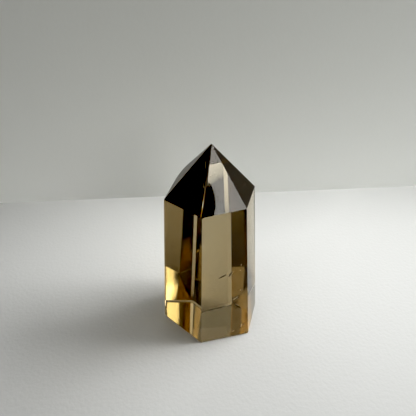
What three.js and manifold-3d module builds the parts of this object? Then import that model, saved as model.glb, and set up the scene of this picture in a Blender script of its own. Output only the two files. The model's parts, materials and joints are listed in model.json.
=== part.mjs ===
// A smoky quartz tower: one polished crystal with six tall sides, a seventh narrow side at the back,
// and six faces that rise to an off-centre tip. It is shaped as a stone cutter shapes it: a rough block
// is ground flat, one face after another, and then its edges, corners and small flaws are worked.
// Units are millimetres and degrees, +Z is up, and the tower stands on Z = 0.

import * as THREE from 'three';
import { mergeVertices } from 'three/addons/utils/BufferGeometryUtils.js';
import Module from 'manifold-3d';

// ---------------------------------------------------------------- driving dimensions

// The point where the six tip faces would meet if the tip were perfectly sharp.
const APEX = new THREE.Vector3(-0.51, -0.35, 65);

// The real tip is worn blunt by this much.
const TIP_WEAR = 0.25;

// Tall sides. azimuth: the way a side faces, from +X towards +Y. distance: from the axis, at the base.
// taper: how far the side leans in towards the tip.
const SIDES = {
  frontLeft: { azimuth: -130.35, distance: 12.41, taper: 3.07 },
  front: { azimuth: -76.94, distance: 12.15, taper: 3.08 },
  right: { azimuth: -16.31, distance: 14.05, taper: 4.29 },
  backRight: { azimuth: 42.39, distance: 12.62, taper: 2.9 },
  backSliver: { azimuth: 89.54, distance: 14.37, taper: 3.04 },
  back: { azimuth: 111.73, distance: 12.35, taper: 2.48 },
  backLeft: { azimuth: 156.89, distance: 13.72, taper: 2.79 },
};

// Tip faces. rise: the angle of the face's outward normal above level. All of them pass through APEX.
const TIP_FACES = {
  frontLeft: { azimuth: -132.14, rise: 30.44 },
  front: { azimuth: -79.04, rise: 31.68 },
  right: { azimuth: -15.42, rise: 36.23 },
  backRight: { azimuth: 40.79, rise: 36.48 },
  back: { azimuth: 111.88, rise: 38.86 },
  backLeft: { azimuth: 169.54, rise: 37.08 },
};

// The back left shoulder was rounded over on the wheel, in four narrow passes.
const SHOULDER_PASSES = [
  { azimuth: 154.8, rise: 37.5, distance: 40.52 },
  { azimuth: 158.6, rise: 34.1, distance: 38.16 },
  { azimuth: 163.6, rise: 29.1, distance: 34.59 },
  { azimuth: 165.6, rise: 27.0, distance: 33.09 },
];

// Depths taken off the edges, measured square to each flat that is left.
// The edges round the base were broken lightly at the front and more heavily at the back.
const BASE_EDGE_DEPTHS = {
  frontLeft: 0.16,
  front: 0.16,
  right: 0.16,
  backRight: 0.45,
  backSliver: 0.45,
  back: 0.45,
  backLeft: 0.45,
};
const FRONT_RIDGE_DEPTH = 0.055;
const BASE_CORNER_DEPTH = 0.3;

// A second flat on the front ridge that leans in and so gets wider towards the shoulder.
const RIDGE_WEAR = { lean: 0.45, depthAtTip: 0.01 };

// Chips and pits are bitten out by balls: a centre, a radius, and how much each is stretched.
const FLAWS = [
  { name: 'side pit', at: [-11.07, -6.81, 3.25], radius: 0.28, stretch: [1, 1, 2.5] },
  { name: 'corner chip', at: [11.1, -10.16, 1.05], radius: 0.75, stretch: [1, 0.6, 1.3] },
  { name: 'upper corner chip', at: [10.3, -10.26, 2.85], radius: 0.55, stretch: [0.8, 0.8, 1.4] },
  { name: 'face chip', at: [9.38, -10.3, 4.85], radius: 0.42, stretch: [1.2, 0.8, 1.1] },
];

const BLOCK_SIZE = 200;
const STONE_COLOUR = 0x8c7a4c;

// ---------------------------------------------------------------- planes

const DEGREE = Math.PI / 180;
const UP = new THREE.Vector3(0, 0, 1);

// A unit vector that faces azimuth and points rise degrees above level.
function facing(azimuth, rise) {
  const level = Math.cos(rise * DEGREE);
  return new THREE.Vector3(
    level * Math.cos(azimuth * DEGREE),
    level * Math.sin(azimuth * DEGREE),
    Math.sin(rise * DEGREE),
  );
}

// A side is placed by its distance at the base, so its slanted distance is a little shorter.
function sideCut({ azimuth, distance, taper }) {
  return { normal: facing(azimuth, taper), distance: distance * Math.cos(taper * DEGREE) };
}

function tipCut({ azimuth, rise }) {
  const normal = facing(azimuth, rise);
  return { normal, distance: normal.dot(APEX) };
}

// The flat that takes depth off the edge where two faces meet, square to the line halfway between them.
function edgeCut(faceA, faceB, depth) {
  const sum = faceA.normal.clone().add(faceB.normal);
  const length = sum.length();
  const edgeDistance = (faceA.distance + faceB.distance) / length;
  return { normal: sum.divideScalar(length), distance: edgeDistance - depth };
}

// The same flat, turned about a level line near the tip so that it bites deeper further down.
function leaningEdgeCut(faceA, faceB, { lean, depthAtTip }) {
  const flat = edgeCut(faceA, faceB, 0);
  const axis = new THREE.Vector3().crossVectors(UP, flat.normal).normalize();
  const normal = flat.normal.clone().applyAxisAngle(axis, lean * DEGREE);
  return { normal, distance: normal.dot(APEX) - depthAtTip };
}

// ---------------------------------------------------------------- solids

const wasm = await Module();
wasm.setup();

function toSolid(geometry) {
  geometry.deleteAttribute('normal');
  geometry.deleteAttribute('uv');
  const merged = mergeVertices(geometry, 1e-4);
  return new wasm.Manifold(new wasm.Mesh({
    numProp: 3,
    vertProperties: new Float32Array(merged.attributes.position.array),
    triVerts: new Uint32Array(merged.index.array),
  }));
}

function toGeometry(solid) {
  const mesh = solid.getMesh();
  const geometry = new THREE.BufferGeometry();
  geometry.setAttribute('position', new THREE.BufferAttribute(mesh.vertProperties, mesh.numProp));
  geometry.setIndex(new THREE.BufferAttribute(mesh.triVerts, 1));
  return geometry;
}

// Grinds away everything beyond a plane, with a block whose near face lies on that plane.
function grind(stone, { normal, distance }) {
  const waste = new THREE.BoxGeometry(BLOCK_SIZE, BLOCK_SIZE, BLOCK_SIZE);
  waste.translate(0, 0, distance + BLOCK_SIZE / 2);
  waste.applyQuaternion(new THREE.Quaternion().setFromUnitVectors(UP, normal));
  return stone.subtract(toSolid(waste));
}

// Bites a chip or pit out of the surface with a stretched, coarsely faceted ball.
function bite(stone, { at, radius, stretch }) {
  const ball = new THREE.IcosahedronGeometry(radius, 1);
  ball.scale(...stretch);
  ball.translate(...at);
  return stone.subtract(toSolid(ball));
}

// ---------------------------------------------------------------- the tower

function makeTower() {
  const sides = Object.values(SIDES).map(sideCut);
  const tipFaces = Object.values(TIP_FACES).map(tipCut);
  const shoulder = SHOULDER_PASSES.map(({ azimuth, rise, distance }) => (
    { normal: facing(azimuth, rise), distance }
  ));
  const base = { normal: UP.clone().negate(), distance: 0 };
  const tip = { normal: UP, distance: APEX.z - TIP_WEAR };

  const frontRidge = [tipCut(TIP_FACES.frontLeft), tipCut(TIP_FACES.front)];
  const baseCorner = [sideCut(SIDES.front), sideCut(SIDES.right)];
  const baseCornerEdge = edgeCut(...baseCorner, 0);
  const edges = [
    edgeCut(...frontRidge, FRONT_RIDGE_DEPTH),
    leaningEdgeCut(...frontRidge, RIDGE_WEAR),
    edgeCut(baseCornerEdge, base, BASE_CORNER_DEPTH),
    ...Object.entries(SIDES).map(([name, side]) => (
      edgeCut(sideCut(side), base, BASE_EDGE_DEPTHS[name])
    )),
  ];

  let stone = toSolid(new THREE.BoxGeometry(BLOCK_SIZE, BLOCK_SIZE, BLOCK_SIZE));
  for (const cut of [base, ...sides, ...tipFaces, ...shoulder, tip, ...edges]) {
    stone = grind(stone, cut);
  }
  for (const flaw of FLAWS) {
    stone = bite(stone, flaw);
  }
  return toGeometry(stone);
}

// Stands the finished stone with the middle of its box over the origin.
function centreOnOrigin(geometry) {
  geometry.computeBoundingBox();
  const middle = geometry.boundingBox.getCenter(new THREE.Vector3());
  geometry.translate(-middle.x, -middle.y, 0);
  return geometry;
}

const tower = new THREE.Mesh(
  centreOnOrigin(makeTower()),
  new THREE.MeshStandardMaterial({
    color: STONE_COLOUR,
    roughness: 0.06,
    metalness: 0,
    flatShading: true,
  }),
);
tower.name = 'smoky_quartz_tower';

const model = new THREE.Group();
model.add(tower);

export default model;
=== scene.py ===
# %% [markdown]
# # A smoky quartz tower
#
# This lesson dresses one object: a hand-polished tower of smoky quartz, a little under 65 mm tall.
# The solid comes ready from the imported frame, with every face at its real size. What is left to do
# is what makes it a stone: softened edges, clear brown depth, the slight waviness of hand polish,
# and the few films and specks that grew inside it. Two more marks are painted light: a dark sheet of
# painted shade under the left tip face, and a painted glint on the front ridge. A small studio at
# the end lets light through it.

# %% Load the frame
import json
import math

import bpy
from mathutils import Matrix, Vector
from mathutils.geometry import intersect_plane_plane

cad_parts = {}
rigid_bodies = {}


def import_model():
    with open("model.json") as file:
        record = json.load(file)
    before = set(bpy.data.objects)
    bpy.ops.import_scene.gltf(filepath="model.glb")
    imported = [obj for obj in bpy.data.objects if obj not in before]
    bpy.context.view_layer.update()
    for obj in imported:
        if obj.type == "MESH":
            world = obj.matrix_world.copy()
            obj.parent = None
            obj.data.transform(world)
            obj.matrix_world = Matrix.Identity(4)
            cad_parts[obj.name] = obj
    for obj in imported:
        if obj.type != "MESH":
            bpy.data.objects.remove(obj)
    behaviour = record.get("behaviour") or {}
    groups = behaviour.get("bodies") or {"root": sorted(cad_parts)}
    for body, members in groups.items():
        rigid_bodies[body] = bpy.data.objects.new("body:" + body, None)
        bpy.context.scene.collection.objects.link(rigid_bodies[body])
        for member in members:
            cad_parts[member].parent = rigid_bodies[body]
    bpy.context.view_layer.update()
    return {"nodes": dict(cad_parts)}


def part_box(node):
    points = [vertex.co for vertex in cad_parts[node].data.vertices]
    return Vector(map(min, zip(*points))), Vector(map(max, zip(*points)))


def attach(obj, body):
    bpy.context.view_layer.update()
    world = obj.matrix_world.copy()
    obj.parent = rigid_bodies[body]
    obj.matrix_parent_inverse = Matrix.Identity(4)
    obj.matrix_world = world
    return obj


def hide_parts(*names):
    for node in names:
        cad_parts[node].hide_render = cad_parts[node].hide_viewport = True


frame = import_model()
MM = 0.001
TOWER = "smoky_quartz_tower"
low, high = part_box(TOWER)
tower_height = high[2] - low[2]
print("tower, mm:", [round((b - a) / MM, 2) for a, b in zip(low, high)])

# %% [markdown]
# ## The camera
#
# A close view from above, as somebody holds a phone over a table. It looks straight along +Y and
# is tipped down. The lens is worked out from the focal length in pixels and the picture's side.

# %% Place the camera
PICTURE_SIDE = 416
FOCAL_LENGTH_IN_PIXELS = 389.1
SENSOR_WIDTH = 36
NEAREST_SEEN = 1 * MM
CAMERA_PLACE = Vector((-0.92, -84.77, 111.58)) * MM
CAMERA_TILT_DOWN = 38.44

camera_data = bpy.data.cameras.new("studio_camera")
camera_data.sensor_width = SENSOR_WIDTH
camera_data.lens = SENSOR_WIDTH * FOCAL_LENGTH_IN_PIXELS / PICTURE_SIDE
camera_data.clip_start = NEAREST_SEEN
camera = bpy.data.objects.new("studio_camera", camera_data)
camera.location = CAMERA_PLACE
camera.rotation_euler = (math.radians(90 - CAMERA_TILT_DOWN), 0, 0)
bpy.context.scene.collection.objects.link(camera)
bpy.context.scene.camera = camera
print("lens, mm:", round(camera_data.lens, 2))

# %% [markdown]
# ## The polished stone
#
# The tower is one crystal. A knife-sharp edge never shows on a real one, because the last polish
# rounds it by about a tenth of a millimetre, and that thin round is what catches the light.
#
# Three helpers come first: into edit mode, back to object mode, and one that selects the edges
# that pass a test.

# %% Helpers for selecting and editing
def edit(piece):
    bpy.ops.object.select_all(action="DESELECT")
    piece.select_set(True)
    bpy.context.view_layer.objects.active = piece
    bpy.ops.object.mode_set(mode="EDIT")


def object_mode():
    bpy.ops.object.mode_set(mode="OBJECT")


def select_edges(piece, wanted):
    object_mode()
    faces_of = {}
    for face in piece.data.polygons:
        for key in face.edge_keys:
            faces_of.setdefault(key, []).append(face)
    count = 0
    for edge in piece.data.edges:
        edge.select = wanted(edge, faces_of.get(edge.key, []))
        count += edge.select
    bpy.ops.object.mode_set(mode="EDIT")
    return count


# %% [markdown]
# The frame's solid comes in triangles. A copy of it is welded, and its flat faces are made whole
# again. The faces stay exactly where they are.

# %% Weld a copy of the solid
WELD_WITHIN = 0.002 * MM
FLAT_WITHIN = math.radians(0.4)

stone = bpy.data.objects.new("polished_tower", frame["nodes"][TOWER].data.copy())
bpy.context.scene.collection.objects.link(stone)
edit(stone)
bpy.ops.mesh.select_mode(type="EDGE")
bpy.ops.mesh.select_all(action="SELECT")
bpy.ops.mesh.remove_doubles(threshold=WELD_WITHIN)
bpy.ops.mesh.dissolve_limited(angle_limit=FLAT_WITHIN)
object_mode()
print("faces after welding:", len(stone.data.polygons))

# %% [markdown]
# Only the long, sharp edges are bevelled. Short ones, as round the chips and the pit, stay crisp.

# %% Soften the long edges
EDGE_ROUND = 0.11 * MM
EDGE_STEPS = 2
ROUND_PROFILE = 0.5
LONG_EDGE = 3 * MM
SHARP_ANGLE = math.radians(12)


def is_long_sharp_edge(edge, faces):
    ends = [stone.data.vertices[i].co for i in edge.vertices]
    if len(faces) != 2 or (ends[0] - ends[1]).length < LONG_EDGE:
        return False
    return faces[0].normal.angle(faces[1].normal) > SHARP_ANGLE


edit(stone)
print("edges softened:", select_edges(stone, is_long_sharp_edge))
bpy.ops.mesh.bevel(
    offset=EDGE_ROUND, offset_type="OFFSET", segments=EDGE_STEPS,
    profile=ROUND_PROFILE, clamp_overlap=True,
)
object_mode()
print("faces after bevel:", len(stone.data.polygons))

# %% [markdown]
# ## The stone's finish
#
# Smoky quartz is clear glass to the eye with a brown stain all through it. The colour is not on the
# surface: a thin edge is pale straw and a long way through is nearly black, so the brown is a volume
# that absorbs blue most and red least, and the surface itself stays almost white. Transmission and
# the refractive index of quartz bend the light. The surface only adds what hand polish leaves: a
# faint waviness that bends reflections, and slightly duller patches.
#
# One helper makes a node and sets its values, and another colours a finish by a measure, such as a
# height or a grain, through a list of stops.

# %% Helpers for finishes
def node(tree, kind, **values):
    made = tree.nodes.new(kind)
    for name, value in values.items():
        if name in made.inputs:
            made.inputs[name].default_value = value
        else:
            setattr(made, name, value)
    return made


def paint_by(tree, measure, stops):
    first, last = stops[0][0], stops[-1][0]
    reach = node(tree, "ShaderNodeMapRange")
    reach.inputs["From Min"].default_value = first
    reach.inputs["From Max"].default_value = last
    paint = node(tree, "ShaderNodeValToRGB")
    while len(paint.color_ramp.elements) < len(stops):
        paint.color_ramp.elements.new(0.5)
    for stop, (level, colour) in zip(paint.color_ramp.elements, stops):
        stop.position = (level - first) / (last - first)
        stop.color = (*colour, 1)
    tree.links.new(measure, reach.inputs["Value"])
    tree.links.new(reach.outputs["Result"], paint.inputs["Fac"])
    tree.links.new(paint.outputs["Color"], tree.nodes["Principled BSDF"].inputs["Base Color"])


# %% [markdown]
# The quartz itself follows. Its stain is the volume, and its smudges and waves are noise.

# %% Make the quartz
QUARTZ_INDEX = 1.55
STAIN_COLOUR = (0.55, 0.437, 0.15, 1)
STAIN_PER_METRE = 60
POLISH_FINEST = 0.015
POLISH_DULLEST = 0.05
SMUDGES_PER_METRE = 140
WAVES_PER_METRE = 80
WAVE_DEPTH = 0.012 * MM
SMUDGED_TINT = (0.97, 0.955, 0.92, 1)
CLEAR_TINT = (1, 0.995, 0.985, 1)

quartz = bpy.data.materials.new("clear_smoky_quartz")
quartz.use_nodes = True
tree = quartz.node_tree
surface = tree.nodes["Principled BSDF"]
surface.inputs["Transmission Weight"].default_value = 1
surface.inputs["IOR"].default_value = QUARTZ_INDEX
output = tree.nodes["Material Output"]

place = node(tree, "ShaderNodeTexCoord")
smudges = node(tree, "ShaderNodeTexNoise", Scale=SMUDGES_PER_METRE, Detail=3)
dullness = node(tree, "ShaderNodeMapRange")
dullness.inputs["To Min"].default_value = POLISH_FINEST
dullness.inputs["To Max"].default_value = POLISH_DULLEST
tint = node(tree, "ShaderNodeValToRGB")
tint.color_ramp.elements[0].color = SMUDGED_TINT
tint.color_ramp.elements[1].color = CLEAR_TINT
waves = node(tree, "ShaderNodeTexNoise", Scale=WAVES_PER_METRE, Detail=1)
ripple = node(tree, "ShaderNodeBump", Strength=1.0, Distance=WAVE_DEPTH)
stain = node(tree, "ShaderNodeVolumeAbsorption", Color=STAIN_COLOUR, Density=STAIN_PER_METRE)

tree.links.new(place.outputs["Object"], smudges.inputs["Vector"])
tree.links.new(smudges.outputs["Fac"], dullness.inputs["Value"])
tree.links.new(dullness.outputs["Result"], surface.inputs["Roughness"])
tree.links.new(smudges.outputs["Fac"], tint.inputs["Fac"])
tree.links.new(tint.outputs["Color"], surface.inputs["Base Color"])
tree.links.new(place.outputs["Object"], waves.inputs["Vector"])
tree.links.new(waves.outputs["Fac"], ripple.inputs["Height"])
tree.links.new(ripple.outputs["Normal"], surface.inputs["Normal"])
tree.links.new(stain.outputs["Volume"], output.inputs["Volume"])

stone.data.materials.clear()
stone.data.materials.append(quartz)
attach(stone, "root")
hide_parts(TOWER)
print("stone finish:", quartz.name, "index", QUARTZ_INDEX)

# %% [markdown]
# ## Flaws inside the stone, and one sheet of painted shade
#
# Where the crystal cracked while it grew, the crack healed and left a thin ragged film. Seen edge on
# or against light, some films are dark and some flash pale. They are bodies inside the stone, not
# marks on its surface, so each is modelled as a thin closed sheet, 0.3 to 2.5 mm under the surface.
# One dark sheet, under the left tip face, is no crack: it is painted shade, where the stone lies in
# shade.
#
# Places are given on the face that one looks through: across it, up it, and in from it. So the
# faces come first. Each is found on the polished stone as the largest one that looks squarely
# enough in a given direction.

# %% Find the faces to work from
FACE_LEANS_TO = {
    "front": (0.2, -1, 0),
    "left": (-0.65, -0.76, 0),
    "left_tip": (-0.58, -0.64, 0.51),
    "ridge_flat": (-0.23, -0.8, 0.55),
}
SQUARE_ON_COUNTS = 40


def face_towards(direction):
    def score(face):
        return face.area * max(0, face.normal.dot(direction)) ** SQUARE_ON_COUNTS

    return max(stone.data.polygons, key=score)


def face_axes(face):
    outward = face.normal.copy()
    foot = outward * face.center.dot(outward)
    across = Vector((0, 0, 1)).cross(outward).normalized()
    return {"foot": foot, "across": across, "up": outward.cross(across), "out": outward}


FACES = {}
for face_name, leans_to in FACE_LEANS_TO.items():
    FACES[face_name] = face_axes(face_towards(Vector(leans_to).normalized()))
    print(face_name, "looks to", [round(v, 3) for v in FACES[face_name]["out"]])

# %% [markdown]
# A film is a ragged disc, pulled long and given a thickness. That is quick to make and never looks
# cut out. Its place and size are in millimetres, and its turn is in degrees from level. Each corner
# strays by a fifth of the film's width.

# %% One ragged film
FILM_THICKNESS = 0.05 * MM
FILM_CORNERS = 18
WIDTH_OVER_STRAY = 5
UNIT_DISC_RADIUS = 0.5


def film(name, face, across, up, inside, turn, length, width):
    axes = FACES[face]
    from_foot = axes["across"] * across + axes["up"] * up - axes["out"] * inside
    middle = axes["foot"] + from_foot * MM
    angle = math.radians(turn)
    along = axes["across"] * math.cos(angle) + axes["up"] * math.sin(angle)
    turned = Matrix((along, axes["out"].cross(along), axes["out"])).transposed()
    bpy.ops.object.select_all(action="DESELECT")
    bpy.ops.mesh.primitive_circle_add(
        vertices=FILM_CORNERS, radius=UNIT_DISC_RADIUS, fill_type="NGON",
        location=middle, rotation=turned.to_euler(),
    )
    piece = bpy.context.active_object
    piece.name = name
    piece.scale = (length * MM, width * MM, 1)
    bpy.ops.object.transform_apply(location=True, rotation=True, scale=True)
    edit(piece)
    bpy.ops.mesh.select_all(action="SELECT")
    bpy.ops.transform.vertex_random(offset=width * MM / WIDTH_OVER_STRAY, seed=len(bpy.data.objects))
    object_mode()
    sheet = piece.modifiers.new("sheet", "SOLIDIFY")
    sheet.thickness = FILM_THICKNESS
    sheet.offset = 0
    bpy.ops.object.modifier_apply(modifier=sheet.name)
    return piece


def join_films(name, films, material):
    bpy.ops.object.select_all(action="DESELECT")
    for piece in films:
        piece.select_set(True)
    bpy.context.view_layer.objects.active = films[0]
    bpy.ops.object.join()
    joined = bpy.context.active_object
    joined.name = name
    joined.data.materials.clear()
    joined.data.materials.append(material)
    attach(joined, "root")
    print(name, "faces:", len(joined.data.polygons))
    return joined


# %% [markdown]
# The films are mineral: dull, finely grained, and never one flat colour. The same fine grain drives
# the roughness, the bump and the shade.

# %% Film materials
GRAINS_PER_METRE = 2500
GRAIN_DEPTH = 0.02 * MM


def mineral(name, rough_from, rough_to):
    made = bpy.data.materials.new(name)
    made.use_nodes = True
    tree = made.node_tree
    shader = tree.nodes["Principled BSDF"]
    where = node(tree, "ShaderNodeTexCoord", name="where")
    grain = node(tree, "ShaderNodeTexNoise", Scale=GRAINS_PER_METRE, Detail=2, name="grain")
    roughness = node(tree, "ShaderNodeMapRange")
    roughness.inputs["To Min"].default_value = rough_from
    roughness.inputs["To Max"].default_value = rough_to
    bump = node(tree, "ShaderNodeBump", Strength=0.5, Distance=GRAIN_DEPTH)
    tree.links.new(where.outputs["Object"], grain.inputs["Vector"])
    tree.links.new(grain.outputs["Fac"], roughness.inputs["Value"])
    tree.links.new(roughness.outputs["Result"], shader.inputs["Roughness"])
    tree.links.new(grain.outputs["Fac"], bump.inputs["Height"])
    tree.links.new(bump.outputs["Normal"], shader.inputs["Normal"])
    return made


def film_material(name, dark, light, rough_from, rough_to):
    made = mineral(name, rough_from, rough_to)
    grain = made.node_tree.nodes["grain"]
    paint_by(made.node_tree, grain.outputs["Fac"], [(0, dark), (1, light)])
    return made


# The dark film paint colours the cracks and also the sheet of painted shade under the left tip face.
dark_film = film_material("dark_healed_film_and_painted_shade", (0.012, 0.008, 0.004), (0.06, 0.04, 0.02), 0.35, 0.6)
pale_film = film_material("pale_healed_film", (0.7, 0.6, 0.42), (1, 0.95, 0.82), 0.2, 0.45)
print("film materials:", dark_film.name, pale_film.name)

# %% [markdown]
# Two dark cracks lie half way up the front side, with streaks and a small fan below them. A dark
# sheet under the left tip face is painted shade: it gives the deep tone beside the ridge, where the
# stone is in shade. Each row says which face, how far across, up and in, the turn, and the length
# and width.

# %% Dark films and painted shade
dark_films_and_painted_shade = [
    film("crack_long", "front", 1.0, 26.2, 2.5, 27, 2.4, 0.4),
    film("crack_steep", "front", 3.25, 26.4, 2.5, 64, 1.8, 0.42),
    film("streak_above", "front", 4.9, 16.8, 2.1, 38, 2.0, 0.2),
    film("streak_below", "front", 5.4, 15.9, 2.1, 36, 2.3, 0.2),
    film("fan_steep", "front", 5.9, 12.6, 1.5, -48, 3.0, 0.3),
    film("fan_middle", "front", 5.2, 13.4, 1.5, -20, 1.9, 0.24),
    film("fan_level", "front", 5.6, 12.2, 1.6, 35, 1.8, 0.24),
    film("corner_spot", "front", 7.9, 3.7, 1.0, 62, 1.0, 0.42),
    film("lower_ring_left", "front", -3.5, 9.7, 0.8, 65, 0.8, 0.2),
    film("lower_ring_top", "front", -3.0, 10.0, 0.8, 5, 0.7, 0.16),
    film("left_speck_high", "left", -1.7, 7.3, 0.4, 80, 0.35, 0.22),
    film("left_speck_low", "left", -1.7, 2.0, 0.4, 70, 0.35, 0.2),
    # Painted shade: a dark sheet where the stone is only in shade, not a crack.
    film("tip_shade", "left_tip", 1.82, 48.58, 0.34, 104.8, 7.0, 0.95),
]
join_films("dark_healed_cracks", dark_films_and_painted_shade, dark_film)

# %% [markdown]
# The pale films lie as deep as the dark ones beside them or a little less deep, so they show as
# flashes next to them. The hairs are the same thing, drawn out thin.

# %% Pale films
pale_films = [
    film("flash_upper", "front", 2.35, 26.9, 2.4, 60, 0.9, 0.2),
    film("flash_lower", "front", 2.7, 25.2, 2.4, 25, 0.6, 0.12),
    film("flash_right", "front", 3.9, 26.8, 2.4, 62, 1.3, 0.22),
    film("speck_top", "front", 6.4, 29.8, 2.0, 80, 0.8, 0.16),
    film("speck_middle", "front", 6.25, 27.7, 2.0, 20, 0.4, 0.32),
    film("speck_low", "front", 6.55, 19.4, 2.0, 70, 0.6, 0.24),
    film("streak", "front", 5.15, 16.35, 2.0, 38, 2.2, 0.42),
    film("hair_1", "front", 2.3, 14.4, 1.5, 45, 2.2, 0.13),
    film("hair_2", "front", 2.8, 14.3, 1.5, 41, 2.4, 0.13),
    film("hair_3", "front", 3.3, 14.6, 1.5, 48, 1.8, 0.13),
    film("fan_edge", "front", 5.7, 13.4, 1.4, -42, 2.2, 0.14),
    film("corner_flash", "front", 7.3, 3.4, 1.0, 86, 1.8, 0.36),
    film("low_flash", "front", 4.5, 1.5, 0.8, 8, 1.0, 0.16),
]
join_films("pale_healed_cracks", pale_films, pale_film)

# %% [markdown]
# ## A painted glint on the front ridge
#
# The ridge of the tip has a narrow flat on it. Along the flat's left edge lies a painted glint: a
# hair-thin, matt line whose colour paints the light and shade that the edge shows, gold and
# brightest low down. It is a thin cone laid along the line where the left tip face meets the flat: a
# cone tapers as the glint does, and most of it is sunk into the stone, so no step shows.

# %% The painted glint on the ridge
# This thin cone along the ridge carries a painted glint.
GLINT_STARTS_AT_HEIGHT = 49.8 * MM
GLINT_ENDS_AT_HEIGHT = 59.8 * MM
GLINT_SUNK = 0.12 * MM
GLINT_WIDE = 0.16 * MM
GLINT_NARROW = 0.12 * MM
GLINT_WOBBLE = 0.02 * MM
GLINT_SIDES = 8
GLINT_CUTS = 9
GLINT_SEED = 4

left_tip, ridge_flat = FACES["left_tip"], FACES["ridge_flat"]
ridge_point, ridge_direction = intersect_plane_plane(
    left_tip["foot"], left_tip["out"], ridge_flat["foot"], ridge_flat["out"]
)
into_the_stone = -(left_tip["out"] + ridge_flat["out"]).normalized()


def on_the_ridge(level):
    steps = (level - ridge_point.z) / ridge_direction.z
    return ridge_point + ridge_direction * steps + into_the_stone * GLINT_SUNK


glint_low_end = on_the_ridge(GLINT_STARTS_AT_HEIGHT)
glint_high_end = on_the_ridge(GLINT_ENDS_AT_HEIGHT)
print("wear from, mm:", [round(v / MM, 2) for v in glint_low_end])
print("wear to, mm:", [round(v / MM, 2) for v in glint_high_end])
ridge_line = glint_high_end - glint_low_end
bpy.ops.object.select_all(action="DESELECT")
bpy.ops.mesh.primitive_cone_add(
    vertices=GLINT_SIDES, radius1=GLINT_WIDE, radius2=GLINT_NARROW, depth=ridge_line.length,
    location=(glint_low_end + glint_high_end) / 2,
    rotation=ridge_line.to_track_quat("Z", "Y").to_euler(),
)
glint = bpy.context.active_object
glint.name = "worn_front_ridge"
bpy.ops.object.transform_apply(location=True, rotation=True, scale=True)


def runs_along_the_ridge(edge, faces):
    start, end = [glint.data.vertices[i].co for i in edge.vertices]
    return (end - start).length > ridge_line.length / 2


edit(glint)
print("edges along the ridge:", select_edges(glint, runs_along_the_ridge))
bpy.ops.mesh.subdivide(number_cuts=GLINT_CUTS)
bpy.ops.mesh.select_all(action="SELECT")
bpy.ops.transform.vertex_random(offset=GLINT_WOBBLE, seed=GLINT_SEED)
object_mode()
print("ridge wear, mm:", round(ridge_line.length / MM, 2), "faces:", len(glint.data.polygons))

# %% [markdown]
# Its colour runs with the height and is painted light and shade: nearly black at the top, a white
# spark of painted highlight low down, and painted gold light below.

# %% The glint's painted colour
# Painted light and shade along the ridge: dark painted shade at the top, a painted white highlight,
# painted gold light below.
PAINTED_GLINT_SHADES = [
    (GLINT_STARTS_AT_HEIGHT, (0.40, 0.26, 0.08)),
    (51.4 * MM, (0.62, 0.40, 0.13)),
    (52.1 * MM, (1, 0.95, 0.8)),
    (52.7 * MM, (1, 0.92, 0.7)),
    (53.6 * MM, (0.55, 0.36, 0.14)),
    (55.6 * MM, (0.26, 0.19, 0.12)),
    (GLINT_ENDS_AT_HEIGHT, (0.08, 0.05, 0.04)),
]
# Matt grain for the rod; its colour is the painted glint below.
ridge_glint_paint = mineral("painted_ridge_glint", 0.35, 0.6)
tree = ridge_glint_paint.node_tree
parts = node(tree, "ShaderNodeSeparateXYZ")
tree.links.new(tree.nodes["where"].outputs["Object"], parts.inputs["Vector"])
paint_by(tree, parts.outputs["Z"], PAINTED_GLINT_SHADES)
glint.data.materials.append(ridge_glint_paint)
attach(glint, "root")
print("shades along the wear:", len(PAINTED_GLINT_SHADES))

# %% [markdown]
# ## The studio
#
# A pale table, a grey wall close behind it, and soft light from the right. None of it is part of
# the object. A clear stone is drawn by what stands round it, so the room is dark on the left and
# bright on the right, as beside a window.
#
# The table and the wall are planes with a dull, faintly grained paint. Light and shade are painted
# into both: a pool of light on the table and a fade up the wall.

# %% Helpers for the stage
MATTE_ROUGHNESS = 0.85


def add_plane(name, size, place_at, turn):
    bpy.ops.object.select_all(action="DESELECT")
    bpy.ops.mesh.primitive_plane_add(size=size, location=place_at, rotation=turn)
    plane = bpy.context.active_object
    plane.name = name
    return plane


def matte(name, grain_scale, grain_depth):
    made = bpy.data.materials.new(name)
    made.use_nodes = True
    tree = made.node_tree
    shader = tree.nodes["Principled BSDF"]
    shader.inputs["Roughness"].default_value = MATTE_ROUGHNESS
    where = node(tree, "ShaderNodeTexCoord", name="where")
    grain = node(tree, "ShaderNodeTexNoise", Scale=grain_scale, Detail=3)
    bump = node(tree, "ShaderNodeBump", Strength=0.6, Distance=grain_depth)
    tree.links.new(where.outputs["Object"], grain.inputs["Vector"])
    tree.links.new(grain.outputs["Fac"], bump.inputs["Height"])
    tree.links.new(bump.outputs["Normal"], shader.inputs["Normal"])
    return made


# %% [markdown]
# The table's paint is palest near the foot of the wall and darkens away from there: a painted pool
# of light, where the light falls off. It lies a hair under the base, so that the two surfaces never
# touch.

# %% Table with a painted pool of light
TABLE_SIDE = 0.9
AIR_UNDER_THE_BASE = 0.08 * MM
TABLE_GRAIN_SCALE = 900
TABLE_GRAIN_DEPTH = 0.1 * MM
# Painted light: the paint fades from the pool colour round its middle to the darker colour further
# away.
TABLE_PAINT_IN_THE_POOL = (0.83, 0.835, 0.82)
TABLE_PAINT_PAST_THE_POOL = (0.40, 0.405, 0.395)
PAINTED_POOL_MIDDLE = Vector((10, 90, 0)) * MM
PAINTED_POOL_FADES_FROM = 60 * MM
PAINTED_POOL_FADES_TO = 200 * MM

table = add_plane("table", TABLE_SIDE, (0, 0, -AIR_UNDER_THE_BASE), (0, 0, 0))
table_with_painted_pool = matte("table_with_painted_pool", TABLE_GRAIN_SCALE, TABLE_GRAIN_DEPTH)
tree = table_with_painted_pool.node_tree
offset = node(tree, "ShaderNodeVectorMath", operation="DISTANCE")
offset.inputs[1].default_value = PAINTED_POOL_MIDDLE
tree.links.new(tree.nodes["where"].outputs["Object"], offset.inputs[0])
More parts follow.
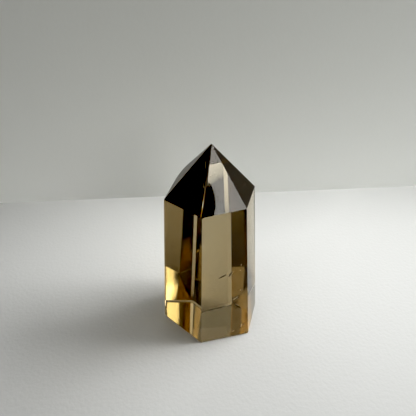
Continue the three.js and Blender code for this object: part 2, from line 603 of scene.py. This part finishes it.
# The distance from the middle of the painted pool of light sets the paint.
painted_light_pool = [(PAINTED_POOL_FADES_FROM, TABLE_PAINT_IN_THE_POOL), (PAINTED_POOL_FADES_TO, TABLE_PAINT_PAST_THE_POOL)]
paint_by(tree, offset.outputs["Value"], painted_light_pool)
table.data.materials.append(table_with_painted_pool)
print("table side, m:", TABLE_SIDE)

# %% [markdown]
# The wall stands on the table behind the stone, at a slight slant. Its paint darkens upwards, which
# is painted light and shade: lighter at the foot, darker higher up. From behind it is clear, so that
# it doesn't stand in the way of a view from the back.

# %% Wall
WALL_LEFT = Vector((-98.44, 59.59, 0)) * MM
WALL_RIGHT = Vector((102.38, 73.39, 0)) * MM
WALL_LENGTH = 1.0
WALL_HEIGHT = 0.095
WALL_END_TO_THE_RIGHT = 0.25
WALL_GRAIN_SCALE = 700
WALL_GRAIN_DEPTH = 0.05 * MM
# Painted light and shade: the wall's paint runs from the lighter foot to the darker top.
WALL_PAINTED_LIGHT_AT_FOOT = (0.80, 0.805, 0.795)
WALL_PAINTED_SHADE_AT_TOP = (0.58, 0.585, 0.575)

along = (WALL_RIGHT - WALL_LEFT).normalized()
foot = (WALL_LEFT + WALL_RIGHT) / 2
half_up = Vector((0, 0, WALL_HEIGHT / 2))
wall_middle = foot + along * (WALL_END_TO_THE_RIGHT - WALL_LENGTH / 2) + half_up
wall = add_plane("wall", 1, wall_middle, (math.radians(90), 0, math.atan2(along.y, along.x)))
wall.scale = (WALL_LENGTH, WALL_HEIGHT, 1)
bpy.ops.object.transform_apply(location=False, rotation=False, scale=True)

grey_wall = matte("grey_wall", WALL_GRAIN_SCALE, WALL_GRAIN_DEPTH)
tree = grey_wall.node_tree
parts = node(tree, "ShaderNodeSeparateXYZ")
tree.links.new(tree.nodes["where"].outputs["Object"], parts.inputs["Vector"])
# The painted light and shade follow the height up the wall.
painted_wall_light = [(-WALL_HEIGHT / 2, WALL_PAINTED_LIGHT_AT_FOOT), (WALL_HEIGHT / 2, WALL_PAINTED_SHADE_AT_TOP)]
paint_by(tree, parts.outputs["Y"], painted_wall_light)

facing = node(tree, "ShaderNodeNewGeometry")
clear = node(tree, "ShaderNodeBsdfTransparent")
either = node(tree, "ShaderNodeMixShader")
tree.links.new(facing.outputs["Backfacing"], either.inputs[0])
tree.links.new(tree.nodes["Principled BSDF"].outputs["BSDF"], either.inputs[1])
tree.links.new(clear.outputs["BSDF"], either.inputs[2])
tree.links.new(either.outputs["Shader"], tree.nodes["Material Output"].inputs["Surface"])
wall.data.materials.append(grey_wall)
print("wall turned by, degrees:", round(math.degrees(math.atan2(along.y, along.x)), 2))

# %% [markdown]
# ## Soft boxes
#
# Each box is given by what it covers, as the stone sees it: from one azimuth to another, and from
# one height above the table to another, in degrees. Azimuth 0 is +X, to the right, and -90 is the
# front. Its strength is what the stone sees too, so a box looks as bright at any distance.

# %% Lights
DAYLIGHT = (1, 0.99, 0.94)
GARDEN_LIGHT = (0.95, 1, 0.93)
TOWER_MIDDLE = Vector((0, 0, tower_height / 2))
FAR, NEAR, CLOSE = 0.7, 0.6, 0.5


def direction_to(azimuth, elevation):
    level = math.cos(math.radians(elevation))
    return Vector((
        level * math.cos(math.radians(azimuth)),
        level * math.sin(math.radians(azimuth)),
        math.sin(math.radians(elevation)),
    ))


def softbox(name, azimuths, elevations, radiance, distance=FAR, colour=(1, 1, 1)):
    azimuth = sum(azimuths) / 2
    elevation = sum(elevations) / 2
    away = direction_to(azimuth, elevation)
    light = bpy.data.lights.new(name, "AREA")
    light.shape = "RECTANGLE"
    half_turn = math.radians(azimuths[1] - azimuths[0]) / 2
    half_tilt = math.radians(elevations[1] - elevations[0]) / 2
    light.size = 2 * distance * math.tan(half_turn) * math.cos(math.radians(elevation))
    light.size_y = 2 * distance * math.tan(half_tilt)
    light.energy = radiance * math.pi * light.size * light.size_y
    light.color = colour
    lamp = bpy.data.objects.new(name, light)
    lamp.location = TOWER_MIDDLE + away * distance
    lamp.rotation_euler = away.to_track_quat("Z", "Y").to_euler()
    bpy.context.scene.collection.objects.link(lamp)
    print(name, "watts:", round(light.energy, 2))
    return lamp


softbox("window_left", (-71, -52), (17, 41), 7.0, colour=DAYLIGHT)
softbox("window_left_high", (-71, -52), (41, 57), 1.6, colour=DAYLIGHT)
softbox("window_right", (-52, -38.4), (16, 60), 4.8, colour=GARDEN_LIGHT)
softbox("window_corner", (-38.6, -35), (54, 60), 4.4, colour=GARDEN_LIGHT)
softbox("front_right_top", (-34, -9), (50, 75), 1.8, NEAR)
softbox("front_right_low", (-34, -9), (10, 48), 0.6, NEAR)
softbox("right_front", (-8, 20), (12, 65), 3.8, NEAR)
softbox("right_back", (20, 45), (10, 46), 8, FAR)
softbox("table_lamp", (-2, 22), (24, 48), 12.2, FAR)
softbox("right_back_high", (22, 45), (47, 58), 1.4, NEAR)
softbox("left_front_low", (-160, -105), (28, 49), 0.8, NEAR)
softbox("left_front_high", (-160, -108), (49, 72), 1.25, NEAR)
softbox("left", (160, 200), (30, 60), 0.4, NEAR)
softbox("behind_right", (60, 84), (44, 70), 0.55, CLOSE)
softbox("behind", (84, 122), (44, 70), 0.65, CLOSE)
softbox("back_lamp", (113.5, 122), (44.5, 52), 2.2, CLOSE)
softbox("behind_left", (122, 158), (46, 70), 1.1, CLOSE)
softbox("overhead", (-60, 60), (76, 88), 0.3, NEAR)

# %% [markdown]
# The window at the front right makes the bright patches in the crystal, and is kept off the table.
# The table has a lamp of its own to the right, which throws the deep, soft shadow to the left.

# %% Share out the light
def light_group(name, state):
    group = bpy.data.collections.new(name)
    group.objects.link(table)
    group.collection_objects[0].light_linking.link_state = state
    return group


all_but_the_table = light_group("all_but_the_table", "EXCLUDE")
only_the_table = light_group("only_the_table", "INCLUDE")
kept_off = []
for lamp in bpy.data.objects:
    if lamp.name.startswith("window_"):
        lamp.light_linking.receiver_collection = all_but_the_table
        kept_off.append(lamp.name)
    if lamp.name == "table_lamp":
        lamp.light_linking.receiver_collection = only_the_table
print("lights kept off the table:", kept_off)

# %% [markdown]
# A dark card stands at the left edge of the window. Its round edge shows as a dark shape in the
# front tip face and cuts off the window there. The camera itself does not see it.

# %% Dark card
CARD_AZIMUTH = -75.1
CARD_ELEVATION = 26.8
CARD_HALF_WIDTH = 6.0
CARD_DISTANCE = 0.66
CARD_CORNERS = 48
CARD_BLACK = (0.02, 0.02, 0.02, 1)
CARD_GRAIN_SCALE = 300
CARD_GRAIN_DEPTH = 0.1 * MM

card_away = direction_to(CARD_AZIMUTH, CARD_ELEVATION)
bpy.ops.object.select_all(action="DESELECT")
bpy.ops.mesh.primitive_circle_add(
    vertices=CARD_CORNERS, radius=CARD_DISTANCE * math.tan(math.radians(CARD_HALF_WIDTH)),
    fill_type="NGON", location=TOWER_MIDDLE + card_away * CARD_DISTANCE,
    rotation=card_away.to_track_quat("Z", "Y").to_euler(),
)
card = bpy.context.active_object
card.name = "dark_card"
card.visible_camera = False
card_paint = matte("dark_card", CARD_GRAIN_SCALE, CARD_GRAIN_DEPTH)
card_paint.node_tree.nodes["Principled BSDF"].inputs["Base Color"].default_value = CARD_BLACK
card.data.materials.append(card_paint)
print("card radius, mm:", round(card.dimensions.x / MM / 2, 1))

# %% [markdown]
# ## The room
#
# Beyond the boxes there is only a dim room. It gives a little light from every side, more from the
# right than from the left.

# %% Room light
ROOM_DARKEST_BELOW_X = -0.6
ROOM_BRIGHTEST_ABOVE_X = 0.8
ROOM_DARKEST = 0.03
ROOM_BRIGHTEST = 0.14

world = bpy.data.worlds.new("room")
bpy.context.scene.world = world
world.use_nodes = True
room = world.node_tree
background = room.nodes["Background"]
direction = node(room, "ShaderNodeTexCoord")
split = node(room, "ShaderNodeSeparateXYZ")
side = node(room, "ShaderNodeMapRange", interpolation_type="SMOOTHSTEP")
side.inputs["From Min"].default_value = ROOM_DARKEST_BELOW_X
side.inputs["From Max"].default_value = ROOM_BRIGHTEST_ABOVE_X
side.inputs["To Min"].default_value = ROOM_DARKEST
side.inputs["To Max"].default_value = ROOM_BRIGHTEST
room.links.new(direction.outputs["Generated"], split.inputs["Vector"])
room.links.new(split.outputs["X"], side.inputs["Value"])
room.links.new(side.outputs["Result"], background.inputs["Strength"])
print("room light from", ROOM_DARKEST, "to", ROOM_BRIGHTEST)

# %% [markdown]
# Only the camera sees the pale backdrop. It fills the picture behind the table in the views from
# the sides and the back, and gives the stone no light.

# %% A pale backdrop
BACKDROP_LEVEL = 0.42

backdrop = node(room, "ShaderNodeBackground", Strength=BACKDROP_LEVEL)
seen = node(room, "ShaderNodeLightPath")
chosen = node(room, "ShaderNodeMixShader")
room.links.new(seen.outputs["Is Camera Ray"], chosen.inputs[0])
room.links.new(background.outputs["Background"], chosen.inputs[1])
room.links.new(backdrop.outputs["Background"], chosen.inputs[2])
room.links.new(chosen.outputs["Shader"], room.nodes["World Output"].inputs["Surface"])
print("backdrop level:", BACKDROP_LEVEL)

# %% [markdown]
# ## Light paths and tone
#
# Light bounces many times inside a faceted stone before it leaves, so the renderer is allowed more
# bounces than it usually takes. The tone curve deepens the browns and sets the black points, a
# little higher in blue than in red, so that the darkest parts keep a warm cast.

# %% Bounces and tone curve
MOST_BOUNCES = 32
MIRROR_BOUNCES = 24
TONE_POWER = 1.3
TONE_STEPS = 20
BLACK_POINTS = (0.016, 0.018, 0.02)

scene = bpy.context.scene
scene.cycles.max_bounces = MOST_BOUNCES
scene.cycles.glossy_bounces = MIRROR_BOUNCES
scene.cycles.transmission_bounces = MOST_BOUNCES
scene.view_settings.view_transform = "Standard"
curves = scene.view_settings.curve_mapping
scene.view_settings.use_curve_mapping = True
for channel, black_point in enumerate(BLACK_POINTS):
    tone = curves.curves[channel]
    for step in range(1, TONE_STEPS):
        scene_level = (step / TONE_STEPS) ** 2
        shown = max(0, (scene_level ** TONE_POWER - black_point) / (1 - black_point))
        tone.points.new(scene_level, shown)
curves.update()
print("tone curve points:", len(curves.curves[0].points))
